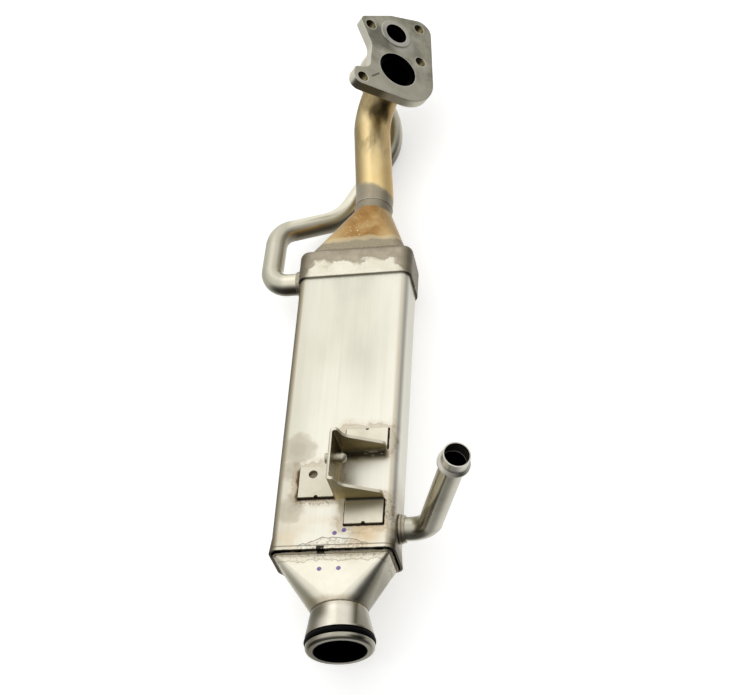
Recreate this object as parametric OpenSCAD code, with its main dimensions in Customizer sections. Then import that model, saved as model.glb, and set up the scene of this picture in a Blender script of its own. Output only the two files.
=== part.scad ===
// Exhaust gas cooler: a flat-tube core in a sheet casing, with its gas pipe, coolant tubes and bracket.
// The gas axis runs along +Y from the outlet spigot, whose end face is at the origin.
// The bracket side of the casing faces +Z.

/* [Casing] */
// Width of the casing across the bracket side
casing_w = 82; // [76:1:96]
// Depth of the casing from the bracket side to the back
casing_d = 36; // [34:1:44]
// Length of the casing
casing_l = 243; // [220:0.5:280]
// Outside corner radius of the casing
casing_r = 6; // [4.5:0.5:8]
// Sheet thickness of the casing
casing_wall = 1.5; // [1:0.1:2]
// How far the casing sits to the left of the gas axis
casing_shift = 7.4; // [4:0.2:10]
// How far the lower end of the casing flares outwards
flare = 1.2; // [0.6:0.1:2]
// Length of that flare
flare_l = 11.5; // [8:0.5:11.5]

/* [Inlet cap] */
// Sheet thickness of the cap
cap_wall = 1.5; // [1:0.1:2]
// How far the skirt of the cap laps over the casing
cap_lap = 21; // [20:0.5:24]
// How far the cap stands above the end of the casing
cap_rise = 5.5; // [4.5:0.5:9]
// Radius of the rounded shoulder of the cap
cap_shoulder = 5.5; // [4:0.5:7]

/* [Core] */
// Number of flat gas tubes
tube_count = 8; // [6:1:8]
// Spacing of the flat gas tubes
tube_pitch = 9.2; // [8.4:0.1:9.6]
// Thickness of a flat gas tube
tube_t = 5.6; // [4.8:0.1:6.4]
// Depth of a flat gas tube
tube_d = 26; // [22:0.5:28]
// Sheet thickness of a flat gas tube
tube_wall = 0.5; // [0.4:0.05:0.7]
// How far a gas tube stands out of each header
tube_proud = 1.4; // [0.8:0.1:2]
// Sheet thickness of a fin strip
fin_wall = 0.2; // [0.15:0.05:0.3]
// Spacing of the folds of a fin strip
fin_pitch = 4; // [3:0.25:5]
// Number of folds of a fin strip
fin_folds = 5; // [3:1:5]
// How far a fin strip stops short of the ends of its tube
fin_inset = 4; // [2:0.5:10]
// Sheet thickness of a header plate
header_t = 2; // [1.5:0.1:2.5]
// Distance of the outlet header plate from the lower end of the casing
header_inset = 8.5; // [8:0.5:10]
// How far the rim of the outlet header shows below the casing
rim_show = 1.6; // [1:0.1:2.5]

/* [Diffusers] */
// Sheet thickness of both diffusers
diffuser_wall = 1.5; // [1:0.1:2]
// Length of the outlet diffuser outside the casing
outlet_cone_l = 35.5; // [28:0.5:50]
// How far the collar of the outlet diffuser reaches into the casing
collar_l = 5; // [3:0.5:6]
// Height of the inlet diffuser above the cap
inlet_cone_l = 42; // [38:0.5:60]
// Width of the inlet diffuser where it sits on the cap
inlet_base_w = 73.5; // [64:0.5:74]
// Depth of the inlet diffuser where it sits on the cap
inlet_base_d = 31; // [30:0.5:33]
// Corner radius at the foot of the inlet diffuser
inlet_base_r = 7; // [5:0.5:10]
// How far the foot of the inlet diffuser sits from the middle of the cap
inlet_base_shift = 0; // [-0.2:0.1:0.2]
// How far the neck of the inlet diffuser sits to the right of the spigot
neck_shift = -0.5; // [-2:0.1:2]
// Length of the round neck of the inlet diffuser
inlet_neck_l = 8.6; // [7:0.1:12]
// How far the neck leans to the right
neck_lean = 1.9; // [0:0.1:3]
// How far the top of the inlet diffuser leans to the right of the casing
cone_lean = 1; // [0:1:9]

/* [Outlet spigot] */
// Bore of the spigot
spigot_bore = 34; // [30:0.5:35]
// Outside diameter where the spigot meets its diffuser
spigot_neck_d = 36.5; // [36:0.1:38]
// Outside diameter of the spigot at its seal
spigot_d = 44.4; // [42:0.1:46]
// Length of the spigot
spigot_l = 27; // [24:0.5:36]
// How far the spigot leans to the right, away from the line of the casing
spigot_lean = 5.2; // [0:0.2:8]
// Length of the rounded nose in front of the seal groove
nose_l = 3.6; // [3:0.1:5]
// Radius that rounds the nose
nose_r = 2.4; // [1:0.1:2.8]
// Thickness of the sealing ring
ring_t = 4.4; // [4:0.1:4.8]
// Outside diameter of the sealing ring
ring_d = 45.8; // [45.2:0.1:46.6]

/* [Gas pipe] */
// Outside diameter of the gas pipe
pipe_d = 29; // [27:0.5:30]
// Sheet thickness of the gas pipe
pipe_wall = 1.5; // [1:0.1:2]
// How far the gas pipe leans to the left
pipe_lean = 5.2; // [3:0.2:8]
// Length of the gas pipe from the neck to the slight bend above it
pipe_lead = 10.4; // [8:0.1:14]
// Radius of that slight bend
lead_bend = 60; // [40:5:80]
// Length of the gas pipe from there to the corner of its bend
pipe_run = 106; // [95:0.5:130]
// Distance from that corner to the flange face
pipe_reach = 44; // [42:0.5:60]
// Radius of the bend in the gas pipe
pipe_bend = 34; // [30:0.5:35]

/* [Flange] */
// Turn of the flange face from facing up towards the right
flange_turn = 40; // [30:1:50]
// Thickness of the flange
flange_t = 8; // [6.5:0.5:12]
// Diameter of the gas port in the flange face
gas_port_d = 32; // [31:0.5:35]
// Depth of the gas port
gas_port_depth = 4; // [2:0.5:4.5]
// Diameter of the coolant port in the flange face
coolant_port_d = 18.4; // [18:0.2:20]
// Depth of the coolant port
coolant_port_depth = 3; // [2:0.5:4.5]
// Distance between the two ports along the flange
port_spacing = 38.4; // [36:0.2:41]
// Height of the raised pad round the coolant port
pad_h = 0.8; // [0.4:0.1:1.5]
// Width of that pad round the port
pad_w = 4.2; // [3:0.1:5]
// Diameter of the bolt holes
bolt_d = 8.8; // [6.6:0.1:9.4]

/* [Coolant tubes] */
// Outside diameter of the supply tube
supply_d = 16; // [14:0.5:16.5]
// Outside diameter of the return tube
return_d = 16.5; // [14:0.5:16.5]
// Sheet thickness of both coolant tubes
hose_wall = 1; // [0.8:0.1:1.5]
// Radius of the supply tube's bend at its middle line
supply_bend = 16; // [14:0.5:18]
// Radius of the return tube's bends beside the casing and behind the flange, at their middle line
return_bend = 13; // [10:0.5:16]
// Radius of its bend beside the inlet diffuser
loop_bend = 22; // [16:0.5:24]
// Radius of its bend as it goes under the gas pipe
entry_bend = 45; // [30:1:50]
// Radius of its bend as it comes out from under the gas pipe
exit_bend = 52; // [40:1:54]
// Distance of the supply tube from the lower end of the casing
supply_y = 22; // [22:0.5:40]
// How far the supply tube reaches out before it turns up
supply_out = 19; // [17:0.5:30]
// Length of the rising part of the supply tube
supply_rise = 97.5; // [80:0.5:130]
// Lean of the rising part to the right
supply_lean = 19; // [10:0.5:30]
// Distance of the hose bead from the mouth of the supply tube
bead_y = 10; // [7:0.5:16]
// How far the hose bead stands out
bead_h = 2.4; // [1.8:0.1:3]
// How far the mouth of the supply tube is widened
mouth_grow = 0.7; // [0.4:0.1:0.9]
// Distance of the return tube from the top end of the casing
return_y = 10.75; // [10.75:0.25:11.25]
// Height of the return tube above the middle of the casing
return_z = -1.5; // [-3:0.5:3]
// How far the return tube reaches out before it turns along the cooler
return_out = 26; // [24:0.5:40]
// Length of the return tube beside the inlet diffuser
return_rise = 49.5; // [46:0.5:54]
// Gap between the return tube and the gas pipe that it passes under
return_gap = 2.4; // [1:0.1:5]
// Length of the weld ferrules on the casing
ferrule_l = 4.5; // [3:0.5:7]
// How far a weld ferrule stands out round its tube
ferrule_w = 2; // [1.5:0.1:2.2]

/* [Bracket] */
// Sheet thickness of the bracket
bracket_t = 2.2; // [1.6:0.1:3]
// Distance of the web of the bracket from the middle of the casing
bracket_x = 0; // [-8:0.5:6]
// Distance of the lower wall from the lower end of the casing
bracket_y = 34.5; // [30:0.5:120]
// Distance between the outer sides of the two walls
bracket_span = 39; // [34:0.5:50]
// Reach of the walls to the right of the web
bracket_reach = 33.5; // [28:0.5:36]
// Height of the walls at the web
bracket_h = 29.5; // [26:0.5:40]
// Height of the walls at their right end
bracket_tip = 9; // [6:0.5:14]
// Inside radius of the folds
fold_r = 1.5; // [0.5:0.1:2]
// Reach of the left foot from the web
left_foot = 24.5; // [20:0.5:28]
// Width of the left foot
left_foot_w = 23; // [18:0.5:26]
// Reach of the upper right foot
upper_foot = 15; // [12:0.5:20]
// Reach of the lower right foot
lower_foot = 17.5; // [14:0.5:22]
// Diameter of the locating hole in the left foot
foot_hole_d = 6; // [4:0.5:8]
// Height of the weld nut above the casing
nut_z = 17; // [14:0.5:20]
// Thread bore of the weld nut
nut_bore = 4.2; // [3.8:0.1:4.8]
// Depth of the thread bore
nut_depth = 10; // [8:0.5:11]
// Outside diameter of the weld nut
nut_d = 7; // [6.6:0.1:8]
// Length of the weld nut with its round closed end
nut_l = 14.5; // [13:0.5:16]

/* [Fits] */
// Gap left for braze or weld between pieces that fit together
braze_gap = 0.1; // [0.05:0.01:0.15]

/* [Hidden] */
$fn = 64;
hull_fn = 32;
// Overlap that lets one solid cut cleanly through another
cut = 1;
// Thickness of the slices between which a sheet form is lofted
slice = 0.01;
// How far a sheet form reaches into its collar, steps in from it, and is cut past its own end
loft_entry = 0.5;
loft_step = 0.05;
loft_cut = 0.2;
// How much fuller a bent tube is in its elbows, and how far its straight parts reach into them
elbow_swell = 0.05;
elbow_entry = 0.5;

// Line of the outlet spigot, from its end face to its neck
spigot_dir = [-sin(spigot_lean), cos(spigot_lean), 0];
outlet_neck = spigot_l * spigot_dir;

// Stations along the casing
casing_y0 = outlet_neck.y + outlet_cone_l;
casing_y1 = casing_y0 + casing_l;
cap_y0 = casing_y1 - cap_lap;
cap_y1 = casing_y1 + cap_rise;
outlet_plate_y = casing_y0 + header_inset;
inlet_plate_y = casing_y1 - header_t - braze_gap;
tube_y0 = outlet_plate_y - tube_proud;
tube_y1 = inlet_plate_y + header_t + tube_proud;

// Inside of the casing, and the rim of the outlet header that lines it
casing_x = -casing_shift;
bore_w = casing_w - 2 * casing_wall;
bore_d = casing_d - 2 * casing_wall;
bore_r = casing_r - casing_wall;
header_w = bore_w - 2 * braze_gap;
header_d = bore_d - 2 * braze_gap;
header_r = bore_r - braze_gap;
rim_t = 1;
collar_w = header_w - 2 * (rim_t + braze_gap);
collar_d = header_d - 2 * (rim_t + braze_gap);
collar_r = header_r - rim_t - braze_gap;
collar_show = 1;
least_r = 0.4;

// Profile of the spigot: its seal groove, the land behind it and the flare at its neck
ring_seat = 0.15;
ring_room = 0.6;
groove_r = ring_d / 2 - ring_t + ring_seat;
groove_w = ring_t + ring_room;
seal_land = 1.2;
neck_flare = 0.8;
neck_flare_l = 3;
// How far the ring stays clear of the sides of its groove
ring_play = 0.1;

// Neck of the inlet diffuser, which starts inside the cone and a little below its skin, and the gas pipe
neck_entry = 6;
neck_step = 0.7;
inlet_base_x = casing_x + inlet_base_shift;
pipe_dir = [-sin(pipe_lean), cos(pipe_lean), 0];
neck_start = [neck_shift, cap_y1 + inlet_cone_l, 0];
cone_dir = [sin(cone_lean), cos(cone_lean), 0];
neck_dir = [sin(neck_lean), cos(neck_lean), 0];
pipe_start = neck_start + inlet_neck_l * neck_dir;
pipe_turn = pipe_start + pipe_lead * neck_dir;
pipe_corner = pipe_turn + pipe_run * pipe_dir;
flange_n = [sin(flange_turn), 0, cos(flange_turn)];
flange_u = [cos(flange_turn), 0, -sin(flange_turn)];
flange_v = [0, 1, 0];
flange_c = pipe_corner + pipe_reach * flange_n;
pipe_path = [pipe_start + braze_gap * neck_dir, pipe_turn, pipe_corner, flange_c - gas_port_depth * flange_n];

// Flange in its own plane: its bolt holes, and the corners of its outline
coolant_port = [-4, port_spacing];
bolt_holes = [[-27, port_spacing - 2], [17, port_spacing + 18], [20, port_spacing - 18.6], [-30, -24]];
// Each corner: its bolt hole, its offset from there, and its radius, negative where it is hollow
flange_corners = [
  [3, -8.4, -8.4, 8],
  [3, 64.9, -1.9, 27],
  [1, 10.4, 12.9, 11],
  [1, -27, 0.4, 0],
  [0, -10.4, 4, 5],
  [0, 2.4, -20.5, -16],
  [3, 5.4, 12, -10],
  [3, -8, 8, 5]
];
flange_outline = [for (c = flange_corners) [bolt_holes[c[0]].x + c[1], bolt_holes[c[0]].y + c[2], c[3]]];

// Runs of the coolant tubes
supply_from = [casing_x + casing_w / 2, casing_y0 + supply_y, 0];
supply_dir = [sin(supply_lean), 0, cos(supply_lean)];
supply_corner = supply_from + [supply_out, 0, 0];
supply_end = supply_corner + supply_rise * supply_dir;
bead_land = 1.2;
bead_root = 0.4;
ferrule_foot = 1;
supply_path = [supply_from - [casing_wall, 0, 0], supply_corner, supply_end];
return_from = [casing_x - casing_w / 2 - cap_wall - braze_gap, casing_y1 - return_y, return_z];
under_z = -(pipe_d + return_d) / 2 - return_gap;
return_lean = 1.5;
return_drop = 55;
under_entry = [-31, 3.5];
under_exit = [22.5, -15];
coolant_end = flange_c + coolant_port.x * flange_u + coolant_port.y * flange_v;
return_corners = [
  return_from - [return_out, 0, 0],
  return_from + [return_lean - return_out, return_rise, -return_z],
  [under_entry.x, pipe_turn.y + under_entry.y, under_z],
  pipe_corner + [under_exit.x, under_exit.y, under_z],
  coolant_end - return_drop * flange_n
];
return_path = concat(
  [return_from + [cap_wall + braze_gap + casing_wall, 0, 0]],
  return_corners,
  [coolant_end - coolant_port_depth * flange_n]
);
return_bends = [return_bend, loop_bend, entry_bend, exit_bend, return_bend];

// Places of the bracket, seen from above the casing
face_z = casing_d / 2;
web_x = casing_x + bracket_x;
wall_y0 = casing_y0 + bracket_y;
wall_y1 = wall_y0 + bracket_span;
left_foot_inset = 3;
left_foot_y = wall_y0 + left_foot_inset;
foot_setback = 5;
foot_step = 3;
foot_hole_x = 15.3;
foot_hole_y = 6;
notch_d = 2.6;
foot_notches = [
  [-left_foot / 2, left_foot_y],
  [(bracket_reach + foot_setback) / 2, wall_y1 + upper_foot],
  [(bracket_reach + foot_setback + foot_step) / 2, wall_y0 - lower_foot]
];
shoulder_x = 5;
step_x = 8;
step_h = 9;
tip_r = 3;
step_r = 8;
top_r = 2;
fold_bite = 0.2;
nut_inset = 16;
nut_y = wall_y1 - nut_inset;
nut_back = 4;

function unit(v) = v / norm(v);
function turn(a, b) = acos(unit(a) * unit(b));
function setback(p, i, r) = r * tan(turn(p[i] - p[i - 1], p[i + 1] - p[i]) / 2);
function axes(x, y, z, o) = [
  [x.x, y.x, z.x, o.x],
  [x.y, y.y, z.y, o.y],
  [x.z, y.z, z.z, o.z],
  [0, 0, 0, 1]
];
function side_of(d) = unit(cross(abs(d.z) < 0.9 ? [0, 0, 1] : [0, 1, 0], d));

// Points and arcs of an outline whose corners are rounded by their own radius
function corner_at(p, i, k) = let (n = len(p), q = p[(i + k + n) % n]) [q.x, q.y];
function corner_in(p, i) = unit(corner_at(p, i, 0) - corner_at(p, i, -1));
function corner_out(p, i) = unit(corner_at(p, i, 1) - corner_at(p, i, 0));
function corner_len(p, i) = abs(p[i].z) * tan(acos(corner_in(p, i) * corner_out(p, i)) / 2);
function corner_mid(p, i) =
  let (half = unit(corner_out(p, i) - corner_in(p, i)), bend = acos(corner_in(p, i) * corner_out(p, i)))
  corner_at(p, i, 0) + half * abs(p[i].z) / cos(bend / 2);

// Stands its children with their Z axis along a direction
module along(o, d) {
  z = unit(d);
  x = side_of(z);
  multmatrix(axes(x, cross(z, x), z, o)) children();
}

// Stands a flat shape drawn in X and Z on the gas axis, so that it grows along +Y
module across(y) translate([0, y, 0]) rotate([90, 0, 0]) mirror([0, 0, 1]) children();

// Straight round bar from one point to another
module rod(a, b, r) along(a, b - a) cylinder(h = norm(b - a), r = r);

// Quarter of a ring, or any other part of it, that joins two bars at a corner of a path
module elbow(p, i, bend, r) {
  d = unit(p[i] - p[i - 1]);
  z = unit(cross(d, p[i + 1] - p[i]));
  start = p[i] - setback(p, i, bend) * d;
  centre = start + bend * cross(z, d);
  multmatrix(axes(-cross(z, d), d, z, centre))
    rotate_extrude(angle = turn(d, p[i + 1] - p[i])) translate([bend, 0]) circle(r);
}

// Round bar bent along a path, with a radius for each corner; its straight parts enter the fuller elbows
module bent_bar(p, bends, r) {
  last = len(p) - 1;
  for (i = [0:last - 1]) {
    d = unit(p[i + 1] - p[i]);
    a = p[i] + (i == 0 ? 0 : setback(p, i, bends[i - 1]) - elbow_entry) * d;
    b = p[i + 1] - (i == last - 1 ? 0 : setback(p, i + 1, bends[i]) - elbow_entry) * d;
    rod(a, b, r);
  }
  for (i = [1:last - 1]) elbow(p, i, bends[i - 1], r + elbow_swell);
}

// Round tube bent along a path of corner points
module bent_tube(p, bends, d, wall) {
  last = len(p) - 1;
  head = cut * unit(p[0] - p[1]);
  tail = cut * unit(p[last] - p[last - 1]);
  bore = [for (i = [0:last]) i == 0 ? p[i] + head : i == last ? p[i] + tail : p[i]];
  difference() {
    bent_bar(p, bends, d / 2);
    bent_bar(bore, bends, d / 2 - wall);
  }
}

// Flat shape with each corner rounded by its own radius
module rounded(p) {
  n = len(p);
  difference() {
    union() {
      polygon([for (i = [0:n - 1], s = [0, 1]) corner_at(p, i, 0)
        + corner_len(p, i) * (s == 0 ? -corner_in(p, i) : corner_out(p, i))]);
      for (i = [0:n - 1]) if (p[i].z > 0) translate(corner_mid(p, i)) circle(p[i].z);
    }
    for (i = [0:n - 1]) if (p[i].z < 0) translate(corner_mid(p, i)) circle(-p[i].z);
  }
}

// Flat rectangle with round corners, about its middle
module plate(w, d, r) rounded([
  [-w / 2, -d / 2, r], [w / 2, -d / 2, r], [w / 2, d / 2, r], [-w / 2, d / 2, r]
]);

// Sheet form that runs from a rectangle to a circle square to a direction
module loft(y, x, w, d, r, round_at, round_dir, round_r) {
  hull() {
    across(y) translate([x, 0]) linear_extrude(slice) plate(w, d, r, $fn = hull_fn);
    along(round_at, round_dir) cylinder(h = slice, r = round_r, $fn = hull_fn * 2);
  }
}

// Block with round upright corners and a rounded shoulder at its far end
module shouldered(w, d, r, shoulder, l) {
  hull() for (x = [-1, 1], z = [-1, 1]) translate([x * (w / 2 - r), 0, z * (d / 2 - r)]) rotate([-90, 0, 0])
    rotate_extrude($fn = hull_fn) intersection() {
      square([r, l]);
      union() {
        square([r, l - shoulder]);
        square([r - shoulder, l]);
        translate([r - shoulder, l - shoulder]) circle(shoulder);
      }
    }
}

module casing() color("#d9d3c4") {
  difference() {
    union() {
      across(casing_y0 + flare_l) translate([casing_x, 0]) linear_extrude(casing_l - flare_l)
        plate(casing_w, casing_d, casing_r);
      flared(casing_w, casing_d, casing_r, 0);
    }
    across(casing_y0 + flare_l) translate([casing_x, 0]) linear_extrude(casing_l)
      plate(bore_w, bore_d, bore_r);
    flared(bore_w, bore_d, bore_r, cut);
    rod(supply_from - [casing_w / 2, 0, 0], supply_from + [flare + cut, 0, 0], supply_d / 2 + braze_gap);
    rod(return_from - [cut, 0, 0], return_from + [casing_w / 2, 0, 0], return_d / 2 + braze_gap);
  }
}

// Lower end of the casing, which opens slightly outwards
module flared(w, d, r, more) {
  steps = flare * (1 + more / flare_l);
  hull() {
    across(casing_y0 + flare_l) translate([casing_x, 0]) linear_extrude(slice)
      plate(w, d, r, $fn = hull_fn);
    across(casing_y0 - more) translate([casing_x, 0]) linear_extrude(slice)
      plate(w + 2 * steps, d + 2 * steps, r + steps, $fn = hull_fn);
  }
}

module inlet_cap() color("#a79d8d") {
  w = casing_w + 2 * (cap_wall + braze_gap);
  d = casing_d + 2 * (cap_wall + braze_gap);
  r = casing_r + cap_wall + braze_gap;
  difference() {
    translate([casing_x, cap_y0, 0]) shouldered(w, d, r, cap_shoulder, cap_y1 - cap_y0);
    translate([casing_x, cap_y0 - cut, 0]) shouldered(w - 2 * cap_wall, d - 2 * cap_wall, r - cap_wall,
      cap_shoulder - cap_wall, cap_y1 - cap_y0 - cap_wall + cut);
    across(cap_y0) translate([inlet_base_x, 0]) linear_extrude(cap_y1 - cap_y0 + cut)
      plate(inlet_base_w - 2 * diffuser_wall, inlet_base_d - 2 * diffuser_wall, inlet_base_r - diffuser_wall);
    rod(return_from - [cut, 0, 0], return_from + [casing_w / 2, 0, 0], return_d / 2 + braze_gap);
  }
}

// Slots for the flat gas tubes
module tube_slots(y, l) {
  for (i = [1:tube_count]) across(y) translate([gas_tube_x(i), 0]) linear_extrude(l)
    flat_section(tube_t + 2 * braze_gap, tube_d + 2 * braze_gap);
}

module inlet_header() color("#b9b2a4") difference() {
  across(inlet_plate_y) translate([casing_x, 0]) linear_extrude(header_t)
    plate(header_w, header_d, header_r);
  tube_slots(inlet_plate_y - cut, header_t + 2 * cut);
}

module outlet_header() color("#b9b2a4") difference() {
  across(casing_y0 - rim_show) translate([casing_x, 0]) linear_extrude(header_inset + header_t + rim_show)
    plate(header_w, header_d, header_r);
  across(casing_y0 - rim_show - cut) translate([casing_x, 0]) linear_extrude(header_inset + rim_show + cut)
    plate(header_w - 2 * rim_t, header_d - 2 * rim_t, header_r - rim_t);
  tube_slots(outlet_plate_y - cut, header_t + 2 * cut);
}

function gas_tube_x(i) = casing_x + (i - (tube_count + 1) / 2) * tube_pitch;

// Section of a flat tube: a slot with round ends
module flat_section(t, d) {
  square([t, d - t], center = true);
  for (z = [-1, 1]) translate([0, z * (d - t) / 2]) circle(t / 2);
}

module gas_tube(i) color("#c4bfb3") across(tube_y0) translate([gas_tube_x(i), 0])
  linear_extrude(tube_y1 - tube_y0) difference() {
    flat_section(tube_t, tube_d);
    flat_section(tube_t - 2 * tube_wall, tube_d - 2 * tube_wall);
  }

// Folded strip between the flat walls of a gas tube
module fin_strip(i) color("#cfcabf") {
  reach = tube_t / 2 - tube_wall - fin_wall - braze_gap;
  fold = [for (k = [0:2 * fin_folds]) [(k % 2 == 0 ? -1 : 1) * reach, (k - fin_folds) * fin_pitch / 2]];
  band = concat(
    [for (k = [0:2 * fin_folds]) fold[k] - [fin_wall, 0]],
    [for (k = [2 * fin_folds:-1:0]) fold[k] + [fin_wall, 0]]
  );
  across(tube_y0 + fin_inset) translate([gas_tube_x(i), 0])
    linear_extrude(tube_y1 - tube_y0 - 2 * fin_inset) polygon(band);
}

module inlet_diffuser() color("#b98f55") {
  neck_r = pipe_d / 2;
  inside = neck_start - neck_entry * neck_dir;
  difference() {
    union() {
      loft(cap_y1, inlet_base_x, inlet_base_w, inlet_base_d, inlet_base_r,
        neck_start, cone_dir, neck_r + neck_step);
      rod(inside, pipe_start, neck_r);
    }
    loft(cap_y1 - loft_cut, inlet_base_x, inlet_base_w - 2 * diffuser_wall, inlet_base_d - 2 * diffuser_wall,
      inlet_base_r - diffuser_wall, neck_start, cone_dir, neck_r - pipe_wall + neck_step);
    rod(inside, pipe_start + cut * neck_dir, neck_r - pipe_wall);
  }
}

module outlet_diffuser() color("#d6d0c1") {
  neck_r = spigot_neck_d / 2;
  base_y = casing_y0 - rim_show - collar_show;
  inner_w = collar_w - 2 * diffuser_wall;
  inner_d = collar_d - 2 * diffuser_wall;
  inner_r = max(collar_r - diffuser_wall, least_r);
  difference() {
    union() {
      loft(base_y + loft_entry, casing_x, collar_w - 2 * loft_step, collar_d - 2 * loft_step, collar_r,
        outlet_neck, spigot_dir, neck_r);
      across(base_y) translate([casing_x, 0]) linear_extrude(casing_y0 + collar_l - base_y)
        plate(collar_w, collar_d, collar_r);
    }
    loft(base_y + loft_entry, casing_x, inner_w - 2 * loft_step, inner_d - 2 * loft_step, inner_r,
      outlet_neck - loft_cut * spigot_dir, spigot_dir, spigot_bore / 2);
    across(base_y) translate([casing_x, 0]) linear_extrude(casing_y0 + collar_l - base_y + cut)
      plate(inner_w, inner_d, inner_r);
  }
}

// Turned spigot with a rounded nose and a groove for the sealing ring
module outlet_spigot() color("#cfc9ba") {
  bore_r = spigot_bore / 2;
  seal_r = spigot_d / 2;
  along([0, 0, 0], spigot_dir) rotate_extrude() difference() {
    polygon([
      [bore_r, 0], [seal_r, 0], [seal_r, nose_l + groove_w + seal_land],
      [spigot_neck_d / 2 + neck_flare, spigot_l - neck_flare_l], [spigot_neck_d / 2, spigot_l],
      [bore_r, spigot_l]
    ]);
    translate([groove_r, nose_l]) square([seal_r, groove_w]);
    difference() {
      translate([seal_r - nose_r, -cut]) square([nose_r + cut, nose_r + cut]);
      translate([seal_r - nose_r, nose_r]) circle(nose_r);
    }
  }
}

module seal_ring() color("#1b1b1b") {
  along((nose_l + groove_w / 2) * spigot_dir, spigot_dir)
    rotate_extrude() translate([(ring_d - ring_t) / 2 + ring_play, 0]) circle(ring_t / 2 - ring_play);
}

module gas_pipe() color("#c79a4b") bent_tube(pipe_path, [lead_bend, pipe_bend], pipe_d, pipe_wall);

module flange() color("#a9a69c") multmatrix(axes(flange_u, flange_v, flange_n, flange_c)) difference() {
  union() {
    translate([0, 0, -flange_t]) linear_extrude(flange_t) rounded(flange_outline);
    translate([0, 0, -flange_t]) translate(coolant_port)
      cylinder(h = flange_t + pad_h, d = coolant_port_d + 2 * pad_w);
  }
  translate([0, 0, -gas_port_depth]) cylinder(h = flange_t, d = gas_port_d);
  translate([0, 0, -flange_t - cut]) cylinder(h = flange_t, d = pipe_d + 2 * braze_gap);
  translate([0, 0, -coolant_port_depth]) translate(coolant_port) cylinder(h = flange_t, d = coolant_port_d);
  translate([0, 0, -flange_t - cut]) translate(coolant_port)
    cylinder(h = flange_t, d = return_d + 2 * braze_gap);
  for (b = bolt_holes) translate([0, 0, -flange_t - cut]) translate(b)
    cylinder(h = flange_t + 2 * cut, d = bolt_d);
}

// Bent tube with a hose bead and a widened mouth
module supply_tube() color("#bdb9ae") {
  r = supply_d / 2;
  bead_at = supply_end - bead_y * supply_dir;
  difference() {
    union() {
      bent_bar(supply_path, [supply_bend], r);
      along(bead_at, supply_dir) rotate_extrude() polygon([
        [r - bead_root, -bead_h], [r + bead_h, -bead_land / 2], [r + bead_h, bead_land / 2],
        [r + mouth_grow, bead_h], [r + mouth_grow, bead_y], [r - bead_root, bead_y]
      ]);
    }
    bent_bar([supply_path[0] - [cut, 0, 0], supply_path[1], supply_end + cut * supply_dir],
      [supply_bend], r - hose_wall);
    rod(bead_at, supply_end + cut * supply_dir, r + mouth_grow - hose_wall);
  }
}

module return_tube() color("#bdb9ae") bent_tube(return_path, return_bends, return_d, hose_wall);

// Flared weld ring round a tube where it enters the casing
module ferrule(o, d, r) along(o, d) rotate_extrude() polygon([
  [r + braze_gap, 0], [r + ferrule_w, 0], [r + ferrule_w, ferrule_foot],
  [r + ferrule_w / 2, ferrule_l], [r + braze_gap, ferrule_l]
]);

module supply_ferrule() color("#b3a893") ferrule(supply_from, [1, 0, 0], supply_d / 2);

module return_ferrule() color("#b3a893") ferrule(return_from, [-1, 0, 0], return_d / 2);

// Side view of a bracket wall: high at the web, stepped, then sloping to its right end
module wall_profile() rounded([
  [0, 0, 0], [bracket_reach, 0, 0], [bracket_reach, bracket_tip, tip_r],
  [step_x, bracket_h - step_h, -step_r], [shoulder_x, bracket_h, top_r], [0, bracket_h, top_r]
]);

// Plan of the web and its two walls, folded from one strip
module channel_plan() difference() {
  rounded([
    [0, wall_y0, fold_r + bracket_t], [bracket_reach, wall_y0, 0],
    [bracket_reach, wall_y1, 0], [0, wall_y1, fold_r + bracket_t]
  ]);
  rounded([
    [bracket_t, wall_y0 + bracket_t, fold_r], [bracket_reach + cut, wall_y0 + bracket_t, 0],
    [bracket_reach + cut, wall_y1 - bracket_t, 0], [bracket_t, wall_y1 - bracket_t, fold_r]
  ]);
}

// Section of the hollow of a fold, drawn in the corner between a foot and its wall
module fold_fillet() difference() {
  translate([-fold_bite, -fold_bite]) square(fold_r + fold_bite);
  translate([fold_r, fold_r]) circle(fold_r);
}

// Foot that a wall turns out into: a plate along X with the hollow of its fold, growing along +Y
module side_foot(x, l, reach) {
  translate([x, -bracket_t, 0]) cube([l, reach + bracket_t, bracket_t]);
  translate([x, 0, bracket_t]) rotate([90, 0, 90]) linear_extrude(l) fold_fillet();
}

module bracket() color("#c9c1ae") translate([web_x, 0, face_z]) difference() {
  union() {
    intersection() {
      linear_extrude(bracket_h) channel_plan();
      translate([0, wall_y1 + cut, 0]) rotate([90, 0, 0]) linear_extrude(bracket_span + 2 * cut)
        wall_profile();
    }
    translate([0, left_foot_y + left_foot_w, 0]) rotate([0, 0, 90]) mirror([1, 0, 0])
      side_foot(0, left_foot_w, left_foot);
    translate([0, wall_y1, 0]) side_foot(foot_setback, bracket_reach - foot_setback, upper_foot);
    translate([0, wall_y0, 0]) mirror([0, 1, 0])
      side_foot(foot_setback + foot_step, bracket_reach - foot_setback - foot_step, lower_foot);
  }
  translate([-foot_hole_x, left_foot_y + left_foot_w - foot_hole_y, -cut])
    cylinder(h = bracket_t + 2 * cut, d = foot_hole_d);
  rod([-cut, nut_y, nut_z], [bracket_t + cut, nut_y, nut_z], nut_d / 2 + braze_gap);
  for (p = foot_notches) translate([p.x, p.y, -cut]) cylinder(h = bracket_t + 2 * cut, d = notch_d);
}

// Closed nut that stands through the web, open to the left
module weld_nut() color("#9c968a") translate([web_x - nut_back, nut_y, face_z + nut_z]) rotate([0, 90, 0])
  difference() {
    rotate_extrude() intersection() {
      square([nut_d / 2, nut_l]);
      union() {
        square([nut_d / 2, nut_l - nut_d / 2]);
        translate([0, nut_l - nut_d / 2]) circle(nut_d / 2);
      }
    }
    translate([0, 0, -cut]) cylinder(h = nut_depth + cut, d = nut_bore);
  }

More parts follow.
